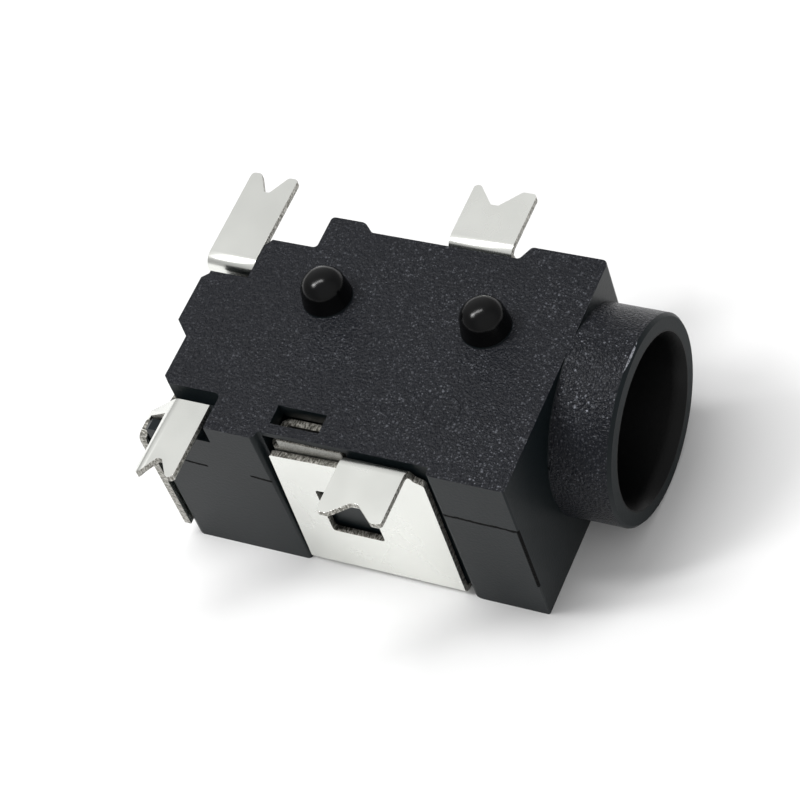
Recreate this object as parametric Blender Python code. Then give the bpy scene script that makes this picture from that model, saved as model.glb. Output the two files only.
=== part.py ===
"""Surface-mount DC power jack: a moulded housing with a round nose, two locating pegs, a U-shaped
plated bracket with two solder feet, two plated terminals with a solder foot each, a sleeve spring
and a centre pin. It lies on its flat roof, with the board face and the pegs up and the mouth at +X.

Lengths are in metres. The parts are drawn in the body's own frame: X = 0 is the front face, with
the nose beyond it, Y = 0 the near side and Z = 0 the roof. An empty carries that frame to the
object's origin, which is the bottom centre of its box.
"""

from math import atan2, cos, pi, radians, sin, tan

import bmesh
import bpy
from mathutils import Matrix, Vector

MM = 0.001
SHARP_ANGLE = 30  # degrees
MERGE_DISTANCE = 0.0001 * MM

# Driving sizes of the housing
BODY_WIDTH = 6.5 * MM
BODY_HEIGHT = 5.0 * MM
BODY_LENGTH = 9.33 * MM
SLIP = 0.03 * MM  # clearance between a metal piece and the moulding that holds it

# Nose, mouth and bore
NOSE_LENGTH = 1.5 * MM
NOSE_EDGE = 0.08 * MM
BORE_FAR_INSET = 2.4 * MM  # from the far side to the bore's axis
MOUTH_WALL = 0.42 * MM
MOUTH_DEPTH = 0.35 * MM
BORE_WALL = 0.56 * MM
BORE_DEPTH = 2.3 * MM
PLUG_GUIDE_WALL = 0.7 * MM
REAR_WALL = 2.43 * MM
ROUND_STEPS = 64
MOULD_EDGE = 0.1 * MM  # radius of the moulding's upright edges
MOULD_FRONT_EDGE = 0.05 * MM
MOULD_CORNER = 0.15 * MM
FAR_REAR_CORNER = 0.2 * MM

# Sheet metal
SHEET = 0.16 * MM
TERMINAL_SHEET = 0.18 * MM
BEND_STEPS = 6
FOOT_TIP_RADIUS = 0.1 * MM
NOTCH_APEX_SHARE = 0.18  # flat apex of a foot's notch, as a share of its width

# Bracket, and the saddle that it sits in
BRACKET_SLIP = 0.06 * MM  # clearance between the bracket and the moulding inside it
SADDLE_FRONT = 1.9 * MM
SADDLE_LENGTH = 4.3 * MM
SADDLE_FAR_DEPTH = 0.38 * MM
SADDLE_CORNER = 0.12 * MM
BRACKET_END_GAP = 0.08 * MM
BRACKET_TAPER = 0.14 * MM
BRACKET_TOP_DROP = 0.5 * MM
BRACKET_REAR_TOP_DROP = 0.58 * MM
BRACKET_BEND = 0.17 * MM
BRACKET_FOOT_BEND = 0.24 * MM
BRACKET_FOOT_WIDTH = 1.6 * MM
BRACKET_FOOT_FRONT = 2.36 * MM
BRACKET_FOOT_REACH = 1.44 * MM
BRACKET_FAR_FOOT_REACH = 1.5 * MM
BRACKET_NOTCH_WIDTH = 1.08 * MM
BRACKET_NOTCH_DEPTH = 0.37 * MM
BRACKET_FAR_NOTCH_DEPTH = 0.5 * MM
BRACKET_FAR_NOTCH_SHIFT = 0.1 * MM
BRACKET_RELIEF_RISE = 0.27 * MM
BRACKET_RELIEF_RUN = 0.25 * MM
BRACKET_PEAK_RUN = 0.07 * MM
BRACKET_PEAK_FALL = 0.15 * MM
BRACKET_CORNER = 0.07 * MM
WINDOW_FRONT = 3.78 * MM
WINDOW_WIDTH = 1.35 * MM
WINDOW_LOW = 1.65 * MM
WINDOW_HEIGHT = 1.65 * MM
WINDOW_CORNER = 0.08 * MM
LATCH_RISE = 0.13 * MM
LATCH_MARGIN = 0.12 * MM

# Pegs
PEG_DIAMETER = 1.22 * MM
PEG_SHOULDER_DIAMETER = 1.11 * MM
PEG_HEIGHT = 0.84 * MM
PEG_DOME_HEIGHT = 0.49 * MM
PEG_DOME_STEPS = 6
PEG_FRONT_X = -2.08 * MM
PEG_PITCH = 4.05 * MM
PEG_STEPS = 32

# Far side of the housing, from the front to the rear
FAR_STEP_SLOPE = 0.18 * MM
FAR_RIB_FRONT = 5.87 * MM
FAR_RIB_REAR = 7.03 * MM
FAR_RIB_INSET = 0.13 * MM
FAR_RIB_SLOPE = 0.28 * MM
FAR_RIB_CORNER = 0.25 * MM
FAR_STEP_INSET = 1.08 * MM
NOTCH_LENGTH = 1.0 * MM
NOTCH_INSET = 2.27 * MM
NOTCH_STEP = 0.13 * MM
NOTCH_STEP_FALL = 0.2 * MM

# Rear of the housing
REAR_LEDGE = 0.26 * MM
REAR_LEDGE_DROP = 1.4 * MM
REAR_LEDGE_REACH = 2.31 * MM
REAR_RIB_DEPTH = 0.15 * MM
REAR_RIB_NEAR = 2.4 * MM
REAR_RIB_FAR = 4.0 * MM
REAR_RIB_DROP = 0.62 * MM
ROOF_EDGE_RADIUS = 0.16 * MM
SADDLE_EDGE_RADIUS = 0.22 * MM

# Pocket for the near rear foot
POCKET_LENGTH = 1.83 * MM
POCKET_WIDTH = 0.97 * MM
POCKET_DEPTH = 0.58 * MM
POCKET_CHAMFER = 0.18 * MM
POCKET_CORNER = 0.14 * MM
FLOOR_BEVEL = 0.16 * MM
NECK_RELIEF = 0.5 * MM
NECK_RELIEF_NEAR = 0.3 * MM

# Centre pin and its terminal
PIN_DIAMETER = 1.3 * MM
PIN_RECESS = 1.6 * MM
PIN_NOSE = 0.3 * MM
PIN_NOSE_STEPS = 5
SHANK_DIAMETER = 0.9 * MM
RIVET_DIAMETER = 1.3 * MM
RIVET_HEIGHT = 0.1 * MM
RIVET_EDGE = 0.06 * MM
PIN_STEPS = 32
PIN_TURN = pi / ROUND_STEPS  # keeps the pin's edges off the bore's
PLATE_NEAR = -0.05 * MM
PLATE_FAR_REACH = 0.85 * MM  # beyond the bore's axis
PLATE_LOW = 0.45 * MM
PLATE_TOP_DROP = 0.84 * MM
PLATE_FAR_RISE = 0.8 * MM  # over the bore's axis
PLATE_FAR_LEDGE = 1.6 * MM
PLATE_FAR_LOW_CORNER = 0.5 * MM
PLATE_FAR_TOP_CORNER = 0.3 * MM
PLATE_NEAR_CORNER = 0.3 * MM
PLATE_SHOULDER_DROP = 0.5 * MM
PIN_FOOT_WIDTH = 1.04 * MM
PIN_FOOT_INSET = 1.71 * MM
PIN_FOOT_INNER = 0.62 * MM
PIN_FOOT_REACH = 1.43 * MM
PIN_NECK_NEAR = 0.25 * MM
PIN_NECK_TAPER = 0.18 * MM
PIN_NECK_BEND = 0.25 * MM
PIN_NECK_INSET = 0.86 * MM
PIN_NECK_FALL = 0.91 * MM
PIN_NOTCH_WIDTH = 0.68 * MM
PIN_NOTCH_DEPTH = 0.42 * MM

# Switch terminal, at the far rear
SWITCH_INSET = 0.98 * MM
SWITCH_WIDTH = 1.27 * MM
SWITCH_FOOT_REACH = 7.27 * MM
SWITCH_GAP = 0.25 * MM
SWITCH_BEND = 0.23 * MM
SWITCH_LEG_HEIGHT = 1.6 * MM
SWITCH_TONGUE_RISE = 0.2 * MM
SWITCH_TONGUE_LENGTH = 0.24 * MM
SWITCH_TONGUE_HEIGHT = 0.6 * MM
SWITCH_NOTCH_WIDTH = 0.74 * MM
SWITCH_NOTCH_DEPTH = 0.52 * MM

# Sleeve spring, its cavity and the slot over it
SLOT_FRONT = 4.75 * MM
SLOT_LENGTH = 1.25 * MM
SLOT_NEAR = 0.48 * MM
SLOT_WIDTH = 0.52 * MM
SPRING_SHEET = 0.18 * MM
SPRING_TOP_DROP = 0.5 * MM
SPRING_LOW = 1.0 * MM
SPRING_LEG_HEIGHT = 1.3 * MM
SPRING_LEG_TOP_DROP = 0.18 * MM
SPRING_LEG_LENGTH = 1.92 * MM
SPRING_TAB_INSET = 0.27 * MM
SPRING_REAR = 6.02 * MM
SPRING_ARM_Y = 0.92 * MM
SPRING_ARM_WIDTH = 1.5 * MM
SPRING_ARM_LENGTH = 3.12 * MM
SPRING_CREST_RUN = 2.32 * MM
SPRING_CREST_REACH = 0.1 * MM
SPRING_SHOULDER_RUN = 1.07 * MM
SPRING_BEND = 0.12 * MM
SPRING_ARM_BEND = 0.3 * MM
SPRING_TIP_FALL = 0.35 * MM
CAVITY_MARGIN = 0.1 * MM


def outline(corners, steps=4):
    """A closed outline from its corners, each (u, v, radius), with the corners rounded by arcs."""
    points = []
    for index, (u, v, radius) in enumerate(corners):
        here = Vector((u, v))
        before = Vector(corners[index - 1][:2]) - here
        after = Vector(corners[(index + 1) % len(corners)][:2]) - here
        if radius == 0:
            points.append(here)
            continue
        points.extend(arc_points(here, before, after, radius, steps, (0.0,))[0])
    return points


def arc_points(corner, before, after, radius, steps, offsets):
    """Arcs that round a corner, one for each offset from the radius, towards the outside of the turn."""
    angle = before.angle(after)
    before = before.normalized()
    after = after.normalized()
    centre = corner + (before + after).normalized() * (radius / sin(angle / 2))
    start = corner + before * (radius / tan(angle / 2)) - centre
    end = corner + after * (radius / tan(angle / 2)) - centre
    sweep = atan2(start.x * end.y - start.y * end.x, start.dot(end))
    side = 1 if sweep > 0 else -1
    arcs = [[] for _ in offsets]
    for step in range(steps + 1):
        ray = Matrix.Rotation(sweep * step / steps, 2) @ start.normalized()
        for arc, offset in zip(arcs, offsets):
            arc.append(centre + ray * (radius + side * offset))
    return arcs


def sheet_outline(path, thickness, steps=BEND_STEPS):
    """The edge view of a bent sheet. The path is its mid line: (u, v, bend radius), plain at both ends."""
    left = []
    right = []
    for index, (u, v, radius) in enumerate(path):
        here = Vector((u, v))
        if 0 < index < len(path) - 1:
            before = Vector(path[index - 1][:2]) - here
            after = Vector(path[index + 1][:2]) - here
            offsets = (-thickness / 2, thickness / 2)
            inner, outer = arc_points(here, before, after, radius, steps, offsets)
            left.extend(inner)
            right.extend(outer)
            continue
        other = Vector(path[1][:2]) if index == 0 else Vector(path[-2][:2])
        along = (other - here if index == 0 else here - other).normalized()
        square = Vector((-along.y, along.x)) * thickness / 2
        left.append(here + square)
        right.append(here - square)
    return left + right[::-1]


def prism(name, points, axis, low, high):
    """An outline pushed along one axis. Its (u, v) are (Y, Z) for X, (X, Z) for Y and (X, Y) for Z."""
    place = {
        "X": lambda u, v: Vector((low, u, v)),
        "Y": lambda u, v: Vector((u, low, v)),
        "Z": lambda u, v: Vector((u, v, low)),
    }[axis]
    step = Vector([(high - low) * (letter == axis) for letter in "XYZ"])
    shape = bmesh.new()
    face = shape.faces.new([shape.verts.new(place(u, v)) for u, v in points])
    moved = bmesh.ops.extrude_face_region(shape, geom=[face])["geom"]
    bmesh.ops.translate(shape, vec=step, verts=[v for v in moved if isinstance(v, bmesh.types.BMVert)])
    bmesh.ops.recalc_face_normals(shape, faces=shape.faces)
    return made_object(name, shape)


def box(name, x, y, z):
    """A plain box between the (low, high) pairs."""
    points = [Vector(corner) for corner in ((x[0], y[0]), (x[1], y[0]), (x[1], y[1]), (x[0], y[1]))]
    return prism(name, points, "Z", *z)


def turned(name, profile, centre, axis, steps, turn=0.0):
    """A profile of (place along the axis, radius), from axis to axis, turned about X or Z."""
    shape = bmesh.new()
    along = Vector((1, 0, 0)) if axis == "X" else Vector((0, 0, 1))
    out = Vector((0, 0, 1)) if axis == "X" else Vector((1, 0, 0))
    out = Matrix.Rotation(turn, 3, along) @ out
    rings = [shape.verts.new(Vector(centre) + along * place + out * radius) for place, radius in profile]
    edges = [shape.edges.new(pair) for pair in zip(rings, rings[1:])]
    bmesh.ops.spin(
        shape, geom=rings + edges, cent=centre, axis=along, dvec=(0, 0, 0), angle=2 * pi, steps=steps
    )
    bmesh.ops.remove_doubles(shape, verts=shape.verts, dist=MERGE_DISTANCE)
    bmesh.ops.recalc_face_normals(shape, faces=shape.faces)
    return made_object(name, shape)


def made_object(name, shape):
    mesh = bpy.data.meshes.new(name)
    shape.to_mesh(mesh)
    shape.free()
    item = bpy.data.objects.new(name, mesh)
    bpy.context.scene.collection.objects.link(item)
    item.parent = bpy.data.objects["jack_frame"]
    return item


def combine(item, operation, others):
    """Boolean steps on an object. The other objects stay as hidden wires."""
    for other in others:
        other.hide_render = True
        other.display_type = "WIRE"
        step = item.modifiers.new(f"{operation.lower()} {other.name}", "BOOLEAN")
        step.operation = operation
        step.solver = "EXACT"
        step.object = other


def smooth_by_angle():
    """A node group that shades smooth and keeps each edge over the angle sharp."""
    group = bpy.data.node_groups.new("smooth_by_angle", "GeometryNodeTree")
    group.interface.new_socket("Geometry", in_out="INPUT", socket_type="NodeSocketGeometry")
    group.interface.new_socket("Geometry", in_out="OUTPUT", socket_type="NodeSocketGeometry")
    faces = group.nodes.new("GeometryNodeSetShadeSmooth")
    edges = group.nodes.new("GeometryNodeSetShadeSmooth")
    edges.domain = "EDGE"
    edges.inputs["Shade Smooth"].default_value = False
    compare = group.nodes.new("FunctionNodeCompare")
    compare.operation = "GREATER_THAN"
    compare.inputs["B"].default_value = radians(SHARP_ANGLE)
    start = group.nodes.new("NodeGroupInput")
    end = group.nodes.new("NodeGroupOutput")
    angle = group.nodes.new("GeometryNodeInputMeshEdgeAngle")
    group.links.new(start.outputs["Geometry"], faces.inputs["Geometry"])
    group.links.new(faces.outputs["Geometry"], edges.inputs["Geometry"])
    group.links.new(angle.outputs["Unsigned Angle"], compare.inputs["A"])
    group.links.new(compare.outputs["Result"], edges.inputs["Selection"])
    group.links.new(edges.outputs["Geometry"], end.inputs["Geometry"])
    return group


def finish(item, material, shading):
    item.data.materials.append(material)
    step = item.modifiers.new("smooth by angle", "NODES")
    step.node_group = shading


def plain_material(name, colour, roughness, metallic):
    material = bpy.data.materials.new(name)
    material.use_nodes = True
    shader = material.node_tree.nodes["Principled BSDF"]
    shader.inputs["Base Color"].default_value = (*colour, 1)
    shader.inputs["Roughness"].default_value = roughness
    shader.inputs["Metallic"].default_value = metallic
    return material


def foot_end(left, right, tip, inward, notch_width, notch_depth, shift=0.0):
    """The free end of a foot in plan: two rounded tips with a V notch between them."""
    middle = (left + right) / 2 + shift
    apex = NOTCH_APEX_SHARE * notch_width / 2
    return [
        (left, tip, FOOT_TIP_RADIUS),
        (middle - notch_width / 2, tip, FOOT_TIP_RADIUS),
        (middle - apex, tip + inward * notch_depth, FOOT_TIP_RADIUS / 2),
        (middle + apex, tip + inward * notch_depth, FOOT_TIP_RADIUS / 2),
        (middle + notch_width / 2, tip, FOOT_TIP_RADIUS),
        (right, tip, FOOT_TIP_RADIUS),
    ]


# Sizes and places that follow from these
NOSE_DIAMETER = BODY_HEIGHT
MOUTH_DIAMETER = NOSE_DIAMETER - 2 * MOUTH_WALL
BORE_DIAMETER = NOSE_DIAMETER - 2 * BORE_WALL
PLUG_GUIDE_DIAMETER = NOSE_DIAMETER - 2 * PLUG_GUIDE_WALL
BORE_CENTRE_Y = BODY_WIDTH - BORE_FAR_INSET
BORE_CENTRE_Z = NOSE_DIAMETER / 2
SADDLE_REAR = SADDLE_FRONT + SADDLE_LENGTH
SADDLE_DEPTH = SHEET + BRACKET_SLIP
SADDLE_FAR = BODY_WIDTH - SADDLE_FAR_DEPTH
STEP_Y = BODY_WIDTH - FAR_STEP_INSET
FAR_PLATE_INNER = SADDLE_FAR + BRACKET_SLIP
BRACKET_FRONT = SADDLE_FRONT + BRACKET_END_GAP
BRACKET_REAR = SADDLE_REAR - BRACKET_END_GAP
BRACKET_TOP = BODY_HEIGHT - BRACKET_TOP_DROP
PLATE_INNER_X = -BODY_LENGTH - SLIP
PLATE_OUTER_X = PLATE_INNER_X - TERMINAL_SHEET
REAR_MOST = PLATE_OUTER_X - RIVET_HEIGHT
PIN_ROOT_X = REAR_WALL - BODY_LENGTH
NOTCH_FRONT = BODY_LENGTH - NOTCH_LENGTH
REAR_LEDGE_LOW = BODY_HEIGHT - REAR_LEDGE_DROP
POCKET_FRONT = BODY_LENGTH - POCKET_LENGTH
POCKET_FLOOR = BODY_HEIGHT - POCKET_DEPTH
PLATE_TOP = BODY_HEIGHT - PLATE_TOP_DROP
PLATE_FAR = BORE_CENTRE_Y + PLATE_FAR_REACH
PLATE_FAR_TOP = BORE_CENTRE_Z + PLATE_FAR_RISE
PIN_FOOT_FRONT = BODY_LENGTH - PIN_FOOT_INSET
PIN_NECK_FRONT = BODY_LENGTH - PIN_NECK_INSET
SWITCH_FRONT = BODY_LENGTH - SWITCH_INSET
SWITCH_LOW = BODY_HEIGHT - SWITCH_LEG_HEIGHT
SWITCH_LEG_NEAR = BODY_WIDTH - NOTCH_INSET + SWITCH_GAP
SPRING_TOP = BODY_HEIGHT - SPRING_TOP_DROP
SPRING_LEG_TOP = BODY_HEIGHT - SPRING_LEG_TOP_DROP
SPRING_LEG_LOW = SPRING_LEG_TOP - SPRING_LEG_HEIGHT
SPRING_LEG_FRONT = SPRING_REAR - SPRING_LEG_LENGTH
SPRING_TAB_REAR = SPRING_REAR - SPRING_TAB_INSET
SPRING_SHOULDER_X = SPRING_SHOULDER_RUN - SPRING_REAR
SPRING_CREST_X = SPRING_CREST_RUN - SPRING_REAR
SPRING_ARM_FRONT = SPRING_REAR - SPRING_ARM_LENGTH
BORE_NEAR_Y = BORE_CENTRE_Y - PLUG_GUIDE_DIAMETER / 2
OVER = 1.0 * MM  # how far a cutter runs past the face that it cuts
ROOT = 0.25 * MM  # how far a form starts inside the one that it grows from
PAST = 0.25 * MM  # how far a sheet runs past the view that trims it


def housing():
    """The moulding: body, nose, pegs, saddle, bore, spring cavity and terminal seats."""
    near = [
        (0, 0, MOULD_FRONT_EDGE),
        (-SADDLE_FRONT, 0, MOULD_EDGE),
        (-SADDLE_FRONT, SADDLE_DEPTH, 0),
        (-SADDLE_REAR, SADDLE_DEPTH, MOULD_EDGE),
        (-SADDLE_REAR, 0, SADDLE_CORNER),
        (-BODY_LENGTH, 0, MOULD_CORNER),
    ]
    far = [
        (-BODY_LENGTH, STEP_Y, FAR_REAR_CORNER),
        (-FAR_RIB_REAR, STEP_Y, MOULD_EDGE),
        (-FAR_RIB_REAR, BODY_WIDTH - FAR_RIB_INSET, MOULD_EDGE),
        (-FAR_RIB_FRONT - FAR_RIB_SLOPE, BODY_WIDTH - FAR_RIB_INSET, FAR_RIB_CORNER),
        (-FAR_RIB_FRONT, SADDLE_FAR, MOULD_EDGE),
        (-SADDLE_FRONT - FAR_STEP_SLOPE, SADDLE_FAR, MOULD_EDGE),
        (-SADDLE_FRONT, BODY_WIDTH, MOULD_EDGE),
        (0, BODY_WIDTH, MOULD_CORNER),
    ]
    body = prism("housing", outline(near + far), "Z", 0, BODY_HEIGHT)
    side = [
        (OVER, 0, 0),
        (-SADDLE_FRONT, 0, SADDLE_EDGE_RADIUS),
        (-SADDLE_FRONT, SADDLE_DEPTH, 0),
        (-SADDLE_REAR, SADDLE_DEPTH, 0),
        (-SADDLE_REAR, 0, 0),
        (-BODY_LENGTH, 0, ROOF_EDGE_RADIUS),
        (-BODY_LENGTH, BODY_HEIGHT + OVER, 0),
        (OVER, BODY_HEIGHT + OVER, 0),
    ]
    combine(body, "INTERSECT", [prism("side_view", outline(side), "Y", -OVER, BODY_WIDTH + OVER)])
    combine(body, "UNION", [nose(), *pegs(), rear_rib(), *latches()])
    combine(body, "DIFFERENCE", [bore(), shank_hole(), foot_pocket(), neck_relief()])
    combine(body, "DIFFERENCE", [rear_ledge(), floor_bevel(), leg_notch(), tongue_slot()])
    combine(body, "DIFFERENCE", [spring_cavity(), spring_window(), leg_recess(), slot()])
    return body


def nose():
    half_turn = pi / ROUND_STEPS
    profile = [
        (-ROOT, 0),
        (-ROOT, NOSE_DIAMETER / 2),
        (NOSE_LENGTH - NOSE_EDGE, NOSE_DIAMETER / 2),
        (NOSE_LENGTH, NOSE_DIAMETER / 2 - NOSE_EDGE),
        (NOSE_LENGTH, 0),
    ]
    return turned("nose", profile, (0, BORE_CENTRE_Y, BORE_CENTRE_Z), "X", ROUND_STEPS, half_turn)


def bore():
    profile = [
        (NOSE_LENGTH + OVER, 0),
        (NOSE_LENGTH + OVER, MOUTH_DIAMETER / 2),
        (NOSE_LENGTH, MOUTH_DIAMETER / 2),
        (NOSE_LENGTH - MOUTH_DEPTH, BORE_DIAMETER / 2),
        (NOSE_LENGTH - BORE_DEPTH, BORE_DIAMETER / 2),
        (NOSE_LENGTH - BORE_DEPTH - MOUTH_DEPTH, PLUG_GUIDE_DIAMETER / 2),
        (PIN_ROOT_X, PLUG_GUIDE_DIAMETER / 2),
        (PIN_ROOT_X, 0),
    ]
    return turned("bore", profile, (0, BORE_CENTRE_Y, BORE_CENTRE_Z), "X", ROUND_STEPS)


def shank_hole():
    radius = SHANK_DIAMETER / 2 + SLIP
    ends = (PIN_ROOT_X + PAST, -BODY_LENGTH - OVER)
    profile = [(ends[0], 0), (ends[0], radius), (ends[1], radius), (ends[1], 0)]
    return turned("shank_hole", profile, (0, BORE_CENTRE_Y, BORE_CENTRE_Z), "X", PIN_STEPS, PIN_TURN)


def pegs():
    """Two locating pegs over the bore, with a slight draft and a domed tip."""
    profile = [(-ROOT, 0), (-ROOT, PEG_DIAMETER / 2), (0, PEG_DIAMETER / 2)]
    for step in range(PEG_DOME_STEPS):
        angle = pi / 2 * step / PEG_DOME_STEPS
        height = PEG_HEIGHT - PEG_DOME_HEIGHT * (1 - sin(angle))
        profile.append((height, PEG_SHOULDER_DIAMETER / 2 * cos(angle)))
    profile.append((PEG_HEIGHT, 0))
    made = []
    for name, x in (("front_peg", PEG_FRONT_X), ("rear_peg", PEG_FRONT_X - PEG_PITCH)):
        made.append(turned(name, profile, (x, BORE_CENTRE_Y, BODY_HEIGHT), "Z", PEG_STEPS))
    return made


def rear_rib():
    """The rib along the far half of the rear edge, over the terminal plate."""
    rear = -BODY_LENGTH - REAR_RIB_DEPTH
    inner = -BODY_LENGTH + ROOT
    corners = [
        (inner, REAR_RIB_NEAR, 0),
        (rear, REAR_RIB_NEAR, 0),
        (rear, REAR_RIB_FAR, 0),
        (-BODY_LENGTH, REAR_RIB_FAR + REAR_RIB_DEPTH, 0),
        (inner, REAR_RIB_FAR + REAR_RIB_DEPTH, 0),
    ]
    return prism("rear_rib", outline(corners), "Z", BODY_HEIGHT - REAR_RIB_DROP, BODY_HEIGHT)


def rear_ledge():
    """The step of the rear edge, in front of the pin terminal's plate, with a chamfer at each end."""
    rear = -BODY_LENGTH - OVER
    wall = -BODY_LENGTH + REAR_LEDGE
    corners = [
        (rear, POCKET_WIDTH - PAST, 0),
        (wall + POCKET_CHAMFER, POCKET_WIDTH - PAST, 0),
        (wall + POCKET_CHAMFER, POCKET_WIDTH, 0),
        (wall, POCKET_WIDTH + POCKET_CHAMFER, 0),
        (wall, REAR_LEDGE_REACH, 0),
        (rear, REAR_LEDGE_REACH + wall - rear, 0),
    ]
    return prism("rear_ledge", outline(corners), "Z", REAR_LEDGE_LOW, BODY_HEIGHT + OVER)


def latches():
    """A wedge inside each bracket window, which the bracket snaps over."""
    left = -WINDOW_FRONT - WINDOW_WIDTH + LATCH_MARGIN
    right = -WINDOW_FRONT - LATCH_MARGIN
    low = WINDOW_LOW + LATCH_MARGIN
    high = WINDOW_LOW + WINDOW_HEIGHT - LATCH_MARGIN
    made = []
    for name, wall, out in (("near_latch", SADDLE_DEPTH, -1), ("far_latch", SADDLE_FAR, 1)):
        inside = wall - out * LATCH_RISE
        corners = [(inside, low, 0), (wall, low, 0), (wall + out * LATCH_RISE, high, 0), (inside, high, 0)]
        made.append(prism(name, outline(corners), "X", left, right))
    return made


def foot_pocket():
    """The open pocket in the board face under the inner end of the near rear foot."""
    rear = -BODY_LENGTH - OVER
    corners = [
        (-POCKET_FRONT, -OVER, 0),
        (-POCKET_FRONT, POCKET_WIDTH, POCKET_CORNER),
        (rear, POCKET_WIDTH, 0),
        (rear, -OVER, 0),
    ]
    return prism("foot_pocket", outline(corners), "Z", POCKET_FLOOR, BODY_HEIGHT + OVER)


def floor_bevel():
    """The bevel of the pocket floor's rear edge."""
    corners = [
        (-BODY_LENGTH, POCKET_FLOOR - FLOOR_BEVEL, 0),
        (-BODY_LENGTH + FLOOR_BEVEL, POCKET_FLOOR, 0),
        (-BODY_LENGTH + FLOOR_BEVEL, BODY_HEIGHT, 0),
        (-BODY_LENGTH - OVER, BODY_HEIGHT, 0),
        (-BODY_LENGTH - OVER, POCKET_FLOOR - FLOOR_BEVEL, 0),
    ]
    return prism("floor_bevel", outline(corners), "Y", -OVER, NECK_RELIEF_NEAR + FLOOR_BEVEL)


def neck_relief():
    """The deeper bevel of that edge, under the neck of the pin terminal."""
    corners = [
        (-BODY_LENGTH, POCKET_FLOOR - NECK_RELIEF, 0),
        (-BODY_LENGTH + NECK_RELIEF, POCKET_FLOOR, 0),
        (-BODY_LENGTH + NECK_RELIEF, BODY_HEIGHT, 0),
        (-BODY_LENGTH - OVER, BODY_HEIGHT, 0),
        (-BODY_LENGTH - OVER, POCKET_FLOOR - NECK_RELIEF, 0),
    ]
    return prism("neck_relief", outline(corners), "Y", NECK_RELIEF_NEAR, POCKET_WIDTH)


def spring_cavity():
    """The room beside the bore for the sleeve spring's hairpin."""
    gap = CAVITY_MARGIN
    x = (-SPRING_REAR - gap, -SPRING_ARM_FRONT + gap)
    y = (SADDLE_DEPTH + SPRING_SHEET + SLIP, SPRING_ARM_Y + SPRING_SHEET + gap)
    return box("spring_cavity", x, y, (SPRING_LOW - gap, SPRING_TOP + gap))


def spring_window():
    """The opening from that room into the bore, for the spring's arm."""
    reach = SPRING_ARM_WIDTH / 2 + CAVITY_MARGIN
    x = (SPRING_SHOULDER_X - CAVITY_MARGIN, -SPRING_ARM_FRONT + CAVITY_MARGIN)
    y = (SPRING_ARM_Y, BORE_NEAR_Y + SPRING_CREST_REACH + SPRING_SHEET + CAVITY_MARGIN)
    return box("spring_window", x, y, (BORE_CENTRE_Z - reach, BORE_CENTRE_Z + reach))


def leg_recess():
    """The recess in the near wall for the spring's flat leg, closed by the bracket."""
    gap = CAVITY_MARGIN
    x = (-SPRING_REAR - gap, -SPRING_LEG_FRONT + gap)
    y = (SADDLE_DEPTH - OVER, SLOT_NEAR + SLIP)
    return box("leg_recess", x, y, (SPRING_LEG_LOW - gap, SPRING_LEG_TOP + SLIP))


def slot():
    x = (-SLOT_FRONT - SLOT_LENGTH, -SLOT_FRONT)
    return box("slot", x, (SLOT_NEAR, SLOT_NEAR + SLOT_WIDTH), (SPRING_TOP, BODY_HEIGHT + OVER))


def leg_notch():
    """The notch at the far rear corner of the board face, for the switch terminal's leg."""
    near = BODY_WIDTH - NOTCH_INSET
    corners = [
        (-BODY_LENGTH - OVER, near, 0),
        (-NOTCH_FRONT, near, 0),
        (-NOTCH_FRONT, STEP_Y - NOTCH_STEP_FALL, MOULD_EDGE),
        (-NOTCH_FRONT + NOTCH_STEP, STEP_Y, 0),
        (-NOTCH_FRONT + NOTCH_STEP, BODY_WIDTH, 0),
        (-BODY_LENGTH - OVER, BODY_WIDTH, 0),
    ]
    return prism("leg_notch", outline(corners), "Z", SWITCH_LOW - SLIP, BODY_HEIGHT + OVER)


def tongue_slot():
    """The slot in the notch wall that holds the switch terminal's tongue."""
    x = (-NOTCH_FRONT - OVER, -SWITCH_FRONT + SWITCH_TONGUE_LENGTH + SLIP)
    low = SWITCH_LOW + SWITCH_TONGUE_RISE
    z = (low - SLIP, low + SWITCH_TONGUE_HEIGHT + SLIP)
    return box("tongue_slot", x, (SWITCH_LEG_NEAR - SLIP, SWITCH_LEG_NEAR + TERMINAL_SHEET + SLIP), z)


def bracket():
    """The U-shaped plate round the body: its end view, cut to its side view and its plan."""
    half = SHEET / 2
    foot_z = BODY_HEIGHT - half
    near_tip = -BRACKET_FOOT_REACH
    far_tip = BODY_WIDTH + BRACKET_FAR_FOOT_REACH
    path = [
        (near_tip - PAST, foot_z, 0),
        (half, foot_z, BRACKET_FOOT_BEND),
        (half, half, BRACKET_BEND),
        (FAR_PLATE_INNER + half, half, BRACKET_BEND),
        (FAR_PLATE_INNER + half, foot_z, BRACKET_FOOT_BEND),
        (far_tip + PAST, foot_z, 0),
    ]
    plate = prism("bracket", sheet_outline(path, SHEET), "X", -SADDLE_REAR, -SADDLE_FRONT)
    combine(plate, "INTERSECT", [bracket_side_view(), bracket_plan(near_tip, far_tip)])
    combine(plate, "DIFFERENCE", [windows()])
    return plate


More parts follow.
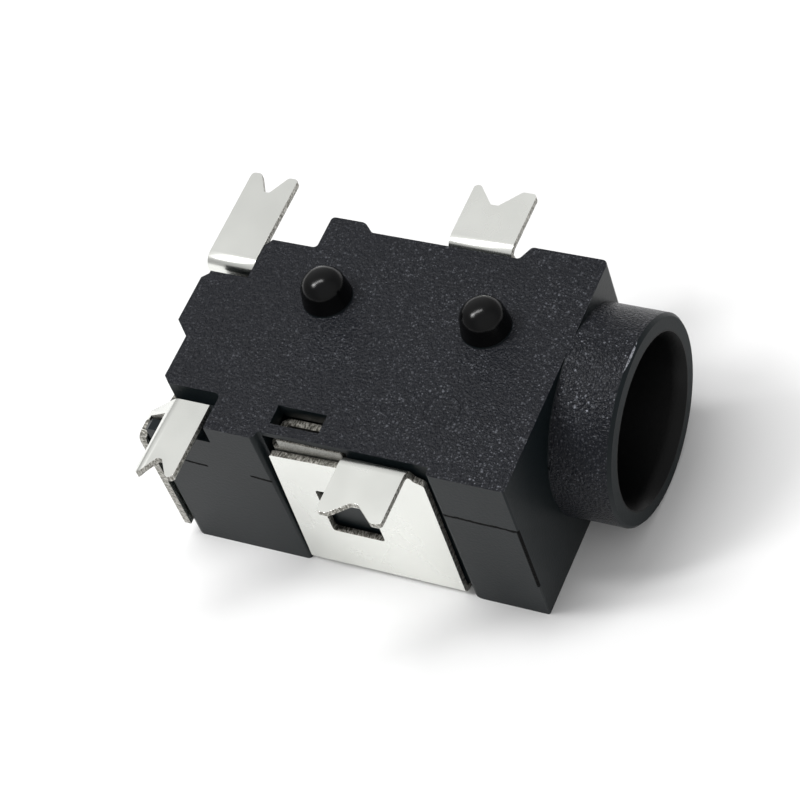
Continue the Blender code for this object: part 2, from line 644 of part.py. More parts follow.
def bracket_side_view():
    left = -BRACKET_FOOT_FRONT - BRACKET_FOOT_WIDTH
    right = -BRACKET_FOOT_FRONT
    shoulder = BRACKET_TOP + BRACKET_RELIEF_RISE
    corners = [
        (-BRACKET_REAR - BRACKET_TAPER / 2, -OVER, 0),
        (-BRACKET_FRONT - BRACKET_TAPER, -OVER, 0),
        (-BRACKET_FRONT - BRACKET_TAPER / 2, BRACKET_TOP, BRACKET_CORNER),
        (right + BRACKET_PEAK_RUN, shoulder - BRACKET_PEAK_FALL, 0),
        (right, shoulder, 0),
        (right, BODY_HEIGHT + OVER, 0),
        (left, BODY_HEIGHT + OVER, 0),
        (left, shoulder, 0),
        (left - BRACKET_RELIEF_RUN, BRACKET_TOP, 0),
        (-BRACKET_REAR + BRACKET_TAPER, BODY_HEIGHT - BRACKET_REAR_TOP_DROP, BRACKET_CORNER),
    ]
    ends = (-BRACKET_FOOT_REACH - OVER, BODY_WIDTH + BRACKET_FAR_FOOT_REACH + OVER)
    return prism("bracket_side_view", outline(corners), "Y", *ends)


def bracket_plan(near_tip, far_tip):
    left = -BRACKET_FOOT_FRONT - BRACKET_FOOT_WIDTH
    right = -BRACKET_FOOT_FRONT
    near_notch = (BRACKET_NOTCH_WIDTH, BRACKET_NOTCH_DEPTH)
    far_notch = (-BRACKET_NOTCH_WIDTH, BRACKET_FAR_NOTCH_DEPTH, -BRACKET_FAR_NOTCH_SHIFT)
    near_end = -BRACKET_FOOT_BEND - SHEET
    far_end = BODY_WIDTH - near_end
    corners = [
        (left, near_end, 0),
        *foot_end(left, right, near_tip, 1, *near_notch),
        (right, near_end, 0),
        (OVER - SADDLE_FRONT, near_end, 0),
        (OVER - SADDLE_FRONT, SADDLE_FAR - SHEET, 0),
        (-BRACKET_FRONT - FAR_STEP_SLOPE, SADDLE_FAR - SHEET, 0),
        (-BRACKET_FRONT - FAR_STEP_SLOPE, far_end, 0),
        (right, far_end, 0),
        *foot_end(right, left, far_tip, -1, *far_notch),
        (left, far_end, 0),
        (BRACKET_END_GAP - FAR_RIB_FRONT, far_end, 0),
        (BRACKET_END_GAP - FAR_RIB_FRONT, SADDLE_FAR - SHEET, 0),
        (-OVER - SADDLE_REAR, SADDLE_FAR - SHEET, 0),
        (-OVER - SADDLE_REAR, near_end, 0),
    ]
    return prism("bracket_plan", outline(corners), "Z", -OVER, BODY_HEIGHT + OVER)


def windows():
    left = -WINDOW_FRONT - WINDOW_WIDTH
    right = -WINDOW_FRONT
    high = WINDOW_LOW + WINDOW_HEIGHT
    places = ((left, WINDOW_LOW), (right, WINDOW_LOW), (right, high), (left, high))
    corners = [(x, z, WINDOW_CORNER) for x, z in places]
    return prism("windows", outline(corners), "Y", -OVER, BODY_WIDTH + OVER)


def pin_terminal():
    """The plate behind the housing, its neck over the rear edge and the near rear foot."""
    half = TERMINAL_SHEET / 2
    foot_z = BODY_HEIGHT - half
    plate_x = PLATE_OUTER_X + half
    left = -PIN_FOOT_FRONT - PIN_FOOT_WIDTH
    path = [
        (plate_x, PLATE_LOW - PAST, 0),
        (plate_x, BODY_HEIGHT - PIN_NECK_FALL, PIN_NECK_BEND),
        (-PIN_NECK_FRONT, foot_z, PIN_NECK_BEND),
        (-PIN_FOOT_FRONT + PAST, foot_z, 0),
    ]
    ends = (-PIN_FOOT_REACH - PAST, PLATE_FAR + PAST)
    plate = prism("pin_terminal", sheet_outline(path, TERMINAL_SHEET), "Y", *ends)
    combine(plate, "INTERSECT", [pin_terminal_rear_view(), pin_terminal_plan(left)])
    combine(plate, "DIFFERENCE", [rivet_hole()])
    return plate


def pin_terminal_rear_view():
    """Seen from the rear: the plate with its round corner, the narrow neck and the foot."""
    corners = [
        (PLATE_NEAR, PLATE_LOW, 0),
        (PLATE_FAR, PLATE_LOW, PLATE_FAR_LOW_CORNER),
        (PLATE_FAR, PLATE_FAR_TOP, PLATE_FAR_TOP_CORNER),
        (PLATE_FAR - PLATE_FAR_LEDGE, PLATE_FAR_TOP, 0),
        (PIN_FOOT_INNER, PLATE_TOP - PLATE_SHOULDER_DROP, 0),
        (PIN_FOOT_INNER, BODY_HEIGHT + OVER, 0),
        (-PIN_FOOT_REACH - OVER, BODY_HEIGHT + OVER, 0),
        (-PIN_FOOT_REACH - OVER, POCKET_FLOOR, 0),
        (PIN_NECK_NEAR + PIN_NECK_TAPER / 2, POCKET_FLOOR, 0),
        (PIN_NECK_NEAR + PIN_NECK_TAPER / 2, PLATE_TOP, 0),
        (PLATE_NEAR, PLATE_TOP, PLATE_NEAR_CORNER),
    ]
    return prism("pin_terminal_rear_view", outline(corners), "X", REAR_MOST - OVER, 0)


def pin_terminal_plan(left):
    right = -PIN_FOOT_FRONT
    corners = [
        (left, PIN_NECK_NEAR, 0),
        *foot_end(left, right, -PIN_FOOT_REACH, 1, PIN_NOTCH_WIDTH, PIN_NOTCH_DEPTH),
        (right, PLATE_FAR + OVER, 0),
        (REAR_MOST - OVER, PLATE_FAR + OVER, 0),
        (REAR_MOST - OVER, PLATE_NEAR - OVER, 0),
        (-BODY_LENGTH, PLATE_NEAR - OVER, 0),
        (-BODY_LENGTH, PIN_NECK_NEAR + PIN_NECK_TAPER, 0),
    ]
    return prism("pin_terminal_plan", outline(corners), "Z", -OVER, BODY_HEIGHT + OVER)


def rivet_hole():
    radius = SHANK_DIAMETER / 2 + SLIP
    ends = (PLATE_INNER_X + PAST, PLATE_OUTER_X - PAST)
    profile = [(ends[0], 0), (ends[0], radius), (ends[1], radius), (ends[1], 0)]
    return turned("rivet_hole", profile, (0, BORE_CENTRE_Y, BORE_CENTRE_Z), "X", PIN_STEPS, PIN_TURN)


def centre_pin():
    """The pin on the bore's axis, with a round nose, a shank through the wall and a riveted end."""
    tip = NOSE_LENGTH - PIN_RECESS
    radius = PIN_DIAMETER / 2
    rounding = []
    for step in range(PIN_NOSE_STEPS + 1):
        angle = pi / 2 * (1 - step / PIN_NOSE_STEPS)
        rounding.append((tip - PIN_NOSE * (1 - sin(angle)), radius - PIN_NOSE * (1 - cos(angle))))
    root = PIN_ROOT_X + SLIP
    head = PLATE_OUTER_X - SLIP
    profile = [
        (tip, 0),
        *rounding,
        (root, radius),
        (root, SHANK_DIAMETER / 2),
        (head, SHANK_DIAMETER / 2),
        (head, RIVET_DIAMETER / 2),
        (REAR_MOST, RIVET_DIAMETER / 2 - RIVET_EDGE),
        (REAR_MOST, 0),
    ]
    return turned("centre_pin", profile, (0, BORE_CENTRE_Y, BORE_CENTRE_Z), "X", PIN_STEPS, PIN_TURN)


def switch_terminal():
    """The far rear terminal: a leg in the housing's notch, a tongue in its wall and a foot."""
    half = TERMINAL_SHEET / 2
    leg_y = SWITCH_LEG_NEAR + half
    foot_z = BODY_HEIGHT - half
    path = [
        (leg_y, SWITCH_LOW, 0),
        (leg_y, foot_z, SWITCH_BEND),
        (SWITCH_FOOT_REACH + PAST, foot_z, 0),
    ]
    rear = -SWITCH_FRONT - SWITCH_WIDTH
    front = -SWITCH_FRONT + SWITCH_TONGUE_LENGTH
    blade = prism("switch_terminal", sheet_outline(path, TERMINAL_SHEET), "X", rear - PAST, front)
    tongue_low = SWITCH_LOW + SWITCH_TONGUE_RISE
    side = [
        (rear - OVER, SWITCH_LOW - OVER, 0),
        (-SWITCH_FRONT, SWITCH_LOW - OVER, 0),
        (-SWITCH_FRONT, tongue_low, 0),
        (front + OVER, tongue_low, 0),
        (front + OVER, tongue_low + SWITCH_TONGUE_HEIGHT, 0),
        (-SWITCH_FRONT, tongue_low + SWITCH_TONGUE_HEIGHT, 0),
        (-SWITCH_FRONT, BODY_HEIGHT + OVER, 0),
        (rear - OVER, BODY_HEIGHT + OVER, 0),
    ]
    plan = [
        (front + OVER, leg_y - OVER, 0),
        (front + OVER, leg_y + PAST, 0),
        (-SWITCH_FRONT, leg_y + PAST, 0),
        *foot_end(-SWITCH_FRONT, rear, SWITCH_FOOT_REACH, -1, -SWITCH_NOTCH_WIDTH, SWITCH_NOTCH_DEPTH),
        (rear, leg_y - OVER, 0),
    ]
    views = [
        prism("switch_side_view", outline(side), "Y", leg_y - OVER, SWITCH_FOOT_REACH + OVER),
        prism("switch_plan", outline(plan), "Z", SWITCH_LOW - OVER, BODY_HEIGHT + OVER),
    ]
    combine(blade, "INTERSECT", views)
    return blade


def sleeve_spring():
    """A hairpin strip: a flat leg against the bracket and an arm that bows into the bore."""
    half = SPRING_SHEET / 2
    leg_y = SHEET + SLIP + half
    crest_y = BORE_NEAR_Y + SPRING_CREST_REACH
    rear = -SPRING_REAR + half
    path = [
        (-SPRING_LEG_FRONT, leg_y, 0),
        (rear, leg_y, SPRING_BEND),
        (rear, SPRING_ARM_Y, SPRING_BEND),
        (SPRING_SHOULDER_X, SPRING_ARM_Y, SPRING_ARM_BEND),
        (SPRING_CREST_X, crest_y, SPRING_ARM_BEND),
        (-SPRING_ARM_FRONT, crest_y - SPRING_TIP_FALL, 0),
    ]
    strip = prism("sleeve_spring", sheet_outline(path, SPRING_SHEET), "Z", SPRING_LOW, SPRING_LEG_TOP)
    low = BORE_CENTRE_Z - SPRING_ARM_WIDTH / 2
    high = BORE_CENTRE_Z + SPRING_ARM_WIDTH / 2
    inner = SADDLE_DEPTH + SPRING_SHEET + SLIP
    corners = [
        (-SPRING_REAR - OVER, SPRING_LOW - OVER, 0),
        (SPRING_SHOULDER_X, SPRING_LOW - OVER, 0),
        (SPRING_SHOULDER_X, low, 0),
        (OVER, low, 0),
        (OVER, high, 0),
        (SPRING_SHOULDER_X, high, 0),
        (SPRING_SHOULDER_X, SPRING_TOP, 0),
        (-SPRING_REAR - OVER, SPRING_TOP, 0),
    ]
    arm_view = prism("spring_arm_view", outline(corners), "Y", inner, BORE_CENTRE_Y)
    leg = [
        (-SPRING_REAR - OVER, SPRING_LEG_LOW, 0),
        (OVER, SPRING_LEG_LOW, 0),
        (OVER, BODY_HEIGHT, 0),
        (-SPRING_TAB_REAR, BODY_HEIGHT, 0),
        (-SPRING_TAB_REAR, SPRING_TOP, 0),
        (-SPRING_REAR - OVER, SPRING_TOP, 0),
    ]
    leg_view = prism("spring_leg_view", outline(leg), "Y", 0, inner)
    combine(arm_view, "UNION", [leg_view])
    combine(strip, "INTERSECT", [arm_view])
    return strip


def clear_scene():
    for item in list(bpy.data.objects):
        bpy.data.objects.remove(item)


def main():
    clear_scene()
    frame = bpy.data.objects.new("jack_frame", None)
    bpy.context.scene.collection.objects.link(frame)
    reach = BODY_WIDTH + BRACKET_FAR_FOOT_REACH - BRACKET_FOOT_REACH
    frame.location = (-(NOSE_LENGTH + REAR_MOST) / 2, -reach / 2, 0)

    black = plain_material("black_moulding", (0.03, 0.031, 0.034), 0.5, 0)
    tin = plain_material("tin_plate", (0.8, 0.82, 0.79), 0.25, 1)
    nickel = plain_material("nickel_plate", (0.75, 0.76, 0.73), 0.2, 1)
    shading = smooth_by_angle()
    finish(housing(), black, shading)
    finish(bracket(), tin, shading)
    finish(pin_terminal(), tin, shading)
    finish(switch_terminal(), tin, shading)
    finish(sleeve_spring(), nickel, shading)
    finish(centre_pin(), nickel, shading)


main()
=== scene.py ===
from math import radians

import bpy
from mathutils import Matrix, Vector


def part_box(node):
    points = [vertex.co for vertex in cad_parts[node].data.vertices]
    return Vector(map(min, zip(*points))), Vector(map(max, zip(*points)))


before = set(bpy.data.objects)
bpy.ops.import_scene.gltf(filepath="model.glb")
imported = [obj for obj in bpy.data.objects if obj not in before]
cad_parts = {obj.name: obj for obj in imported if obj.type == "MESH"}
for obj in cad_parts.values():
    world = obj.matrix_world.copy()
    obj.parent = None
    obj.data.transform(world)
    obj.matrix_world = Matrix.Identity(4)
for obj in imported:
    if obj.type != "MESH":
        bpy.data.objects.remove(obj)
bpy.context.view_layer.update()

MM = 0.001

# Places on the part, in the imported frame
NOSE_LENGTH = 1.5 * MM
BOARD_FACE_Z = 5.0 * MM
HOUSING_LOW, HOUSING_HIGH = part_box("housing")
FRONT_FACE_X = HOUSING_HIGH.x - NOSE_LENGTH
NEAR_SIDE_Y = HOUSING_LOW.y
BORE_Y = NEAR_SIDE_Y + 4.1 * MM
BORE_Z = 2.5 * MM
BORE_RADIUS = 2.1 * MM
EJECTOR_PLACE = (FRONT_FACE_X - 2.17 * MM, NEAR_SIDE_Y + 1.73 * MM)
EJECTOR_RADIUS = 0.42 * MM
EJECTOR_WIDTH = 0.03 * MM

# Stretches of the mould's parting line on the near side, in millimetres from the front face and above the
# floor: rear x, front x, rear z and front z
PARTING_LINE = (
    (-1.97, 0.0, 3.5, 3.42),
    (-8.64, -7.96, 3.38, 3.33),
    (-6.78, -6.22, 3.3, 3.25),
)
PARTING_WIDTH = 0.05 * MM
PARTING_WOBBLE = 0.1 * MM
WOBBLE_GRAIN = 0.3 * MM
PARTING_FADE = 0.05 * MM
CORNER_WIDTH = 0.07 * MM
CORNER_LOW_Z = 1.2 * MM
CORNER_HIGH_Z = 3.45 * MM

# Cosines between which a surface starts to face a way and faces it fully
FACING = (0.6, 0.9)
SQUARE_ON = (0.8, 0.95)
ASLANT = (0.3, 0.6)
SHEARED_ASLANT = (0.2, 0.5)
AWAY_FROM_NEAR = (-0.95, -0.8)
# Specks fade on faces that turn down, as painted shade of the undersides
SPECKS_LIT_FROM_ABOVE = (-0.2, 0.5)

# Areas of the moulding, and over what distance each one fades in or out
BOARD_REACH = 0.04 * MM
NOSE_FADE = 0.05 * MM
NOSE_WALL_FADE = 0.1 * MM
BORE_FADE = 0.03 * MM
PEG_HEIGHTS = (BOARD_FACE_Z + 0.03 * MM, BOARD_FACE_Z + 0.06 * MM)
RIM_PLACES = (FRONT_FACE_X + 1.0 * MM, FRONT_FACE_X + 1.1 * MM)

# Painted highlight on the slopes just below the board face, where the rounded edges catch the light: their
# heights, how far they face up, and the grain that carries it
HIGHLIGHT_HEIGHTS = (BOARD_FACE_Z - 0.04 * MM, BOARD_FACE_Z - 0.003 * MM)
HIGHLIGHT_HEIGHT_FADE = 0.002 * MM
HIGHLIGHT_SLOPES = (0.3, 0.9)
HIGHLIGHT_SLOPE_FADE = 0.08
HIGHLIGHT_CONTRAST = (0.35, 0.55)

# Colours of the moulding, the darker of two first
WALL_TONES = ((0.0028, 0.0056, 0.007, 1), (0.0042, 0.0076, 0.0092, 1))
GRAIN_TONES = ((0.0035, 0.0042, 0.0068, 1), (0.0055, 0.0066, 0.01, 1))
# Glossy black of the smooth pegs, also laid in the bore, where it is partly that finish and partly painted
# shade of the deep recess
GLOSSY_BLACK_AND_BORE_SHADE = (0.0012, 0.0013, 0.0015, 1)
LINE_BLACK = (0.0004, 0.0004, 0.0004, 1)
# Painted highlight along the edge slopes just below the board face
EDGE_HIGHLIGHT_COLOUR = (0.3, 0.31, 0.34, 1)
SPECK_COLOUR = (0.12, 0.125, 0.14, 1)

# Grain and gloss of the moulding
GRAIN_SIZE = 0.07 * MM
TONE_PATCH = 0.9 * MM
GRAIN_DEPTH = 0.05 * MM
WALL_RELIEF = 0.08
PEG_RELIEF = 0.35
EJECTOR_RELIEF = 0.35
MOULDING_IOR = 1.28
WALL_ROUGHNESS = 0.38
GRAIN_ROUGHNESS = 0.42
NOSE_ROUGHNESS = 0.28
RIM_ROUGHNESS = 0.6
PEG_ROUGHNESS = 0.18
LINE_ROUGHNESS = 1.0

# Bright specks in the grain: spacing and share of the cells that hold one, for small and for large specks
SPECKS = ((0.06 * MM, 0.9), (0.1 * MM, 0.35))
SPECK_RADII = (0.1, 0.45)  # in cells, where a speck starts to fade and ends
SPECK_METALLIC = 0.8
SPECK_PATCH = 1.6 * MM
PATCH_CONTRAST = (0.35, 0.65)
PATCH_LEAST = 0.45
SPECK_FADE_LENGTH = 8 * MM
SPECKS_AT_REAR = 0.55
# Share of the specks left on faces that turn down, the rest taken out as painted shade
SPECKS_IN_PAINTED_SHADE = 0.1

# Noise: how strong its finer layers are, and how many layers a cloudy plate has
FINE_LAYERS = 0.6
CLOUD_DETAIL = 3.0

# Plated sheets: node, material, colour, roughness, the axis that the sheet faces, and how far it is rubbed
TIN = (0.86, 0.87, 0.83)
SPRING_METAL = (0.55, 0.55, 0.52)
PLATES = (
    ("bracket", "bracket_plate", TIN, 0.22, "y", 0.05),
    ("pin_terminal", "pin_terminal_plate", TIN, 0.2, "x", 0.05),
    ("switch_terminal", "switch_terminal_plate", TIN, 0.2, "y", 0.05),
    ("sleeve_spring", "spring_plate", SPRING_METAL, 0.3, "y", 0.8),
)
CLOUD_SIZE = 1.2 * MM
CLOUD_SHADE = 0.93
CLOUD_ROUGHNESS = 0.1
RUBBED_SHADE = 0.5

# Sheared edges of the plates: where they are, their marks and their colours, the darker of two first; the
# upward top edges below the feet get painted shade
FOOT_TIP_HEIGHTS = (BOARD_FACE_Z - 0.15 * MM, BOARD_FACE_Z - 0.13 * MM)
FOOT_HEIGHTS = (BOARD_FACE_Z - 0.2 * MM, BOARD_FACE_Z - 0.17 * MM)
TOP_EDGE_LOW_Z = 0.5 * MM
TOP_EDGE_HIGH_Z = BOARD_FACE_Z - 0.14 * MM
TOP_EDGE_FADE = 0.02 * MM
SHEAR_STRETCH = 0.35
SHEAR_GRAIN = 0.035 * MM
SHEAR_CONTRAST = (0.35, 0.7)
SHEAR_DEPTH = 0.02 * MM
SHEAR_ROUGHNESS = 0.25
# Rough sheared top edges below the feet, darkened further as painted shade under the feet
TOP_EDGE_SHADE_TONES = ((0.05, 0.048, 0.04, 1), (0.36, 0.35, 0.32, 1))
TORN_TONES = ((0.16, 0.155, 0.135, 1), (0.62, 0.61, 0.57, 1))

# Turned pin
PIN_TONES = ((0.7, 0.71, 0.68, 1), (0.8, 0.81, 0.78, 1))
PIN_PATCH = 0.6 * MM
TURNING_GRAIN = 0.025 * MM
TURNING_CONTRAST = (0.3, 0.7)
TURNING_ROUGHNESS = (0.16, 0.26)
TURNING_STRENGTH = 0.25
TURNING_DEPTH = 0.01 * MM

# Edges of the nodes, and the widths that their rounding is held under
MERGE_DISTANCE = 0.0001 * MM
FLAT_ANGLE = 1.0  # degrees
SHARP_ANGLE = 30.0  # degrees
EDGE_SEGMENTS = 2
EDGE_WIDTHS = {
    "housing": 0.035 * MM,
    "bracket": 0.015 * MM,
    "pin_terminal": 0.015 * MM,
    "switch_terminal": 0.015 * MM,
}

# Camera, as the photograph was taken
CAMERA_PLACE = Vector((26.98, -31.47, 53.83)) * MM
CAMERA_TURN = (36.958, 14.015, 23.293)  # degrees
CAMERA_LENS = 127.2
CAMERA_SENSOR = 36.0
CAMERA_NEAREST = 1 * MM
CAMERA_FARTHEST = 2.0

# Floor
FLOOR_SIZE = 0.6
FLOOR_COLOUR = (0.83, 0.83, 0.83)
FLOOR_ROUGHNESS = 0.9
PAPER_SHADE = 0.985
PAPER_PATCH = 2.0 * MM

# Light
SKY_COLOUR = (1, 1, 1, 1)
SKY_LEVEL = 0.42
GLOWS = (  # direction, strength when full, and the cosines of the angles where it starts and is full
    ((-0.39, 0.46, 0.79), 0.72, 0.55, 0.97),
    ((0.62, -0.5, 0.6), 0.7, 0.35, 0.95),
)
LIGHT_DISTANCE = 0.15
STRIP = {
    "toward": (-0.32, -0.04, 0.95),
    "along": (0.62, 0.5, 0.2),
    "size": (0.13, 0.018),
    "power": 0.15,
}
KEY = {
    "toward": (-0.5, -0.24, 0.83),
    "along": (1.0, 0.0, 0.0),
    "size": (0.035, 0.035),
    "power": 0.05,
}


class Nodes:
    """A node tree with short ways to add and join nodes."""

    def __init__(self, tree):
        self.tree = tree

    def add(self, kind, settings=None, **inputs):
        """A new node. An underscore in an input's name stands for a space."""
        node = self.tree.nodes.new(kind)
        for name, value in (settings or {}).items():
            setattr(node, name, value)
        for name, value in inputs.items():
            self.put(node.inputs[name.replace("_", " ")], value)
        return node

    def put(self, socket, value):
        """Link a value to a socket, or set it there if it is a constant."""
        if isinstance(value, bpy.types.NodeSocket):
            self.tree.links.new(value, socket)
        else:
            socket.default_value = value

    def math(self, operation, *values):
        node = self.add("ShaderNodeMath", {"operation": operation})
        for socket, value in zip(node.inputs, values):
            self.put(socket, value)
        return node.outputs["Value"]

    def vector_math(self, operation, first, second):
        node = self.add("ShaderNodeVectorMath", {"operation": operation})
        self.put(node.inputs[0], first)
        self.put(node.inputs[1], second)
        return node.outputs

    def both(self, *masks):
        """The product of masks."""
        made = masks[0]
        for mask in masks[1:]:
            made = self.math("MULTIPLY", made, mask)
        return made

    def either(self, *masks):
        """The largest of masks."""
        made = masks[0]
        for mask in masks[1:]:
            made = self.math("MAXIMUM", made, mask)
        return made

    def ramp(self, value, low, high, start=0.0, end=1.0):
        """A value's smooth step from start at low to end at high."""
        node = self.add("ShaderNodeMapRange", {"interpolation_type": "SMOOTHSTEP"}, Value=value)
        for name, number in (("From Min", low), ("From Max", high), ("To Min", start), ("To Max", end)):
            self.put(node.inputs[name], number)
        return node.outputs["Result"]

    def fall(self, value, low, high):
        """One up to low, falling smoothly to nothing at high."""
        return self.ramp(value, low, high, 1.0, 0.0)

    def near(self, value, centre, reach):
        """One within half the reach of the centre, falling to nothing at the reach."""
        off = self.math("ABSOLUTE", self.math("SUBTRACT", value, centre))
        return self.fall(off, reach / 2, reach)

    def between(self, value, low, high, soft):
        """One from low to high, falling to nothing over a soft stretch outside them."""
        return self.both(self.ramp(value, low - soft, low), self.fall(value, high, high + soft))

    def mix(self, share, first, second):
        """A colour between two colours."""
        node = self.add("ShaderNodeMix", {"data_type": "RGBA"})
        sockets = [socket for socket in node.inputs if socket.enabled]
        for socket, value in zip(sockets, (share, first, second)):
            self.put(socket, value)
        return next(socket for socket in node.outputs if socket.enabled)

    def mix_value(self, share, first, second):
        """A number between two numbers."""
        return self.math("MULTIPLY_ADD", share, self.math("SUBTRACT", second, first), first)

    def noise(self, place, grain, finer=0.5, detail=2.0):
        """Noise whose grains are about that many metres across."""
        inputs = {"Vector": place, "Scale": 1 / grain, "Detail": detail, "Roughness": finer}
        return self.add("ShaderNodeTexNoise", None, **inputs).outputs[0]

    def place(self):
        """The place on the part, in metres."""
        return self.add("ShaderNodeTexCoord").outputs["Object"]

    def normal(self):
        return self.add("ShaderNodeNewGeometry").outputs["Normal"]

    def axes(self, vector):
        """The x, y and z of a vector, by name."""
        parts = self.add("ShaderNodeSeparateXYZ", None, Vector=vector).outputs
        return {name: parts[name.upper()] for name in "xyz"}

    def bump(self, height, strength, distance):
        inputs = {"Height": height, "Strength": strength, "Distance": distance}
        return self.add("ShaderNodeBump", None, **inputs).outputs["Normal"]


def new_material(name):
    """A material, the nodes of its tree and its shader."""
    material = bpy.data.materials.new(name)
    material.use_nodes = True
    return material, Nodes(material.node_tree), material.node_tree.nodes["Principled BSDF"]


def radius_from(nodes, across, up, centre_across, centre_up):
    """The distance from a line along the third axis."""
    across = nodes.math("SUBTRACT", across, centre_across)
    up = nodes.math("SUBTRACT", up, centre_up)
    square = nodes.math("MULTIPLY_ADD", across, across, nodes.math("MULTIPLY", up, up))
    return nodes.math("SQRT", square)


def parting_line(nodes, place, at, toward):
    """Where the mould's parting line shows on the near side, and where it turns down the front corner."""
    wobble = nodes.math("MULTIPLY", nodes.noise(place, WOBBLE_GRAIN, FINE_LAYERS), PARTING_WOBBLE)
    lines = []
    for rear, front, rear_z, front_z in PARTING_LINE:
        low = FRONT_FACE_X + rear * MM
        high = FRONT_FACE_X + front * MM
        slope = (front_z - rear_z) / (front - rear)
        start = rear_z * MM - slope * low
        height = nodes.math("SUBTRACT", at["z"], nodes.math("MULTIPLY_ADD", at["x"], slope, start))
        height = nodes.math("SUBTRACT", nodes.math("ADD", height, wobble), PARTING_WOBBLE / 2)
        on_line = nodes.near(height, 0.0, PARTING_WIDTH)
        lines.append(nodes.both(on_line, nodes.between(at["x"], low, high, PARTING_FADE)))
    along_side = nodes.both(nodes.either(*lines), nodes.fall(toward["y"], *AWAY_FROM_NEAR))
    at_front = nodes.near(at["x"], FRONT_FACE_X, CORNER_WIDTH)
    at_side = nodes.near(at["y"], NEAR_SIDE_Y, CORNER_WIDTH)
    below = nodes.between(at["z"], CORNER_LOW_Z, CORNER_HIGH_Z, PARTING_FADE)
    return nodes.either(along_side, nodes.both(at_front, at_side, below))


def moulding_areas(nodes, at, toward):
    """Masks of the moulding's areas. The bore's takes in every wall that lies in line with the bore."""
    facing_up = nodes.ramp(toward["z"], *FACING)
    facing_front = nodes.ramp(toward["x"], *FACING)
    off_front = nodes.fall(toward["x"], *ASLANT)
    from_axis = radius_from(nodes, at["y"], at["z"], BORE_Y, BORE_Z)
    outside_bore = nodes.ramp(from_axis, BORE_RADIUS, BORE_RADIUS + NOSE_WALL_FADE)
    past_front = nodes.ramp(at["x"], FRONT_FACE_X, FRONT_FACE_X + NOSE_FADE)
    return {
        "board": nodes.both(facing_up, nodes.near(at["z"], BOARD_FACE_Z, BOARD_REACH)),
        "nose": nodes.both(past_front, outside_bore, off_front),
        "rim": nodes.both(facing_front, nodes.ramp(at["x"], *RIM_PLACES)),
        "bore": nodes.fall(from_axis, BORE_RADIUS, BORE_RADIUS + BORE_FADE),
        "peg": nodes.ramp(at["z"], *PEG_HEIGHTS),
    }


def painted_edge_highlight(nodes, at, toward, grain):
    """Painted highlight on the slopes just below the board face, as at the top of the nose's rim, laid on
    the grain.
    """
    close = nodes.between(at["z"], *HIGHLIGHT_HEIGHTS, HIGHLIGHT_HEIGHT_FADE)
    sloping = nodes.between(toward["z"], *HIGHLIGHT_SLOPES, HIGHLIGHT_SLOPE_FADE)
    return nodes.both(close, sloping, nodes.ramp(grain, *HIGHLIGHT_CONTRAST))


def speck_dots(nodes, place, spacing, share):
    """Round dots, one in some of the cells of that spacing."""
    cells = nodes.add("ShaderNodeTexVoronoi", None, Vector=place, Scale=1 / spacing)
    chance = nodes.add("ShaderNodeSeparateColor", None, Color=cells.outputs["Color"]).outputs[0]
    dot = nodes.fall(cells.outputs["Distance"], *SPECK_RADII)
    return nodes.both(dot, nodes.ramp(chance, 1.0 - share, 1.0))


def bright_specks(nodes, place, at, toward, grainy):
    """Specks of the spark-eroded grain: in patches, most of them near the nose and on what faces up; thinned
    on what faces down, as painted shade of the undersides.
    """
    dots = nodes.either(*(speck_dots(nodes, place, *kind) for kind in SPECKS))
    patchy = nodes.ramp(nodes.noise(place, SPECK_PATCH), *PATCH_CONTRAST, PATCH_LEAST)
    rear = FRONT_FACE_X - SPECK_FADE_LENGTH
    toward_nose = nodes.ramp(at["x"], rear, FRONT_FACE_X, SPECKS_AT_REAR)
    # Fewer specks on faces that turn down: painted shade of the undersides
    lit_from_above = nodes.ramp(toward["z"], *SPECKS_LIT_FROM_ABOVE, SPECKS_IN_PAINTED_SHADE)
    return nodes.both(dots, patchy, toward_nose, grainy, lit_from_above)


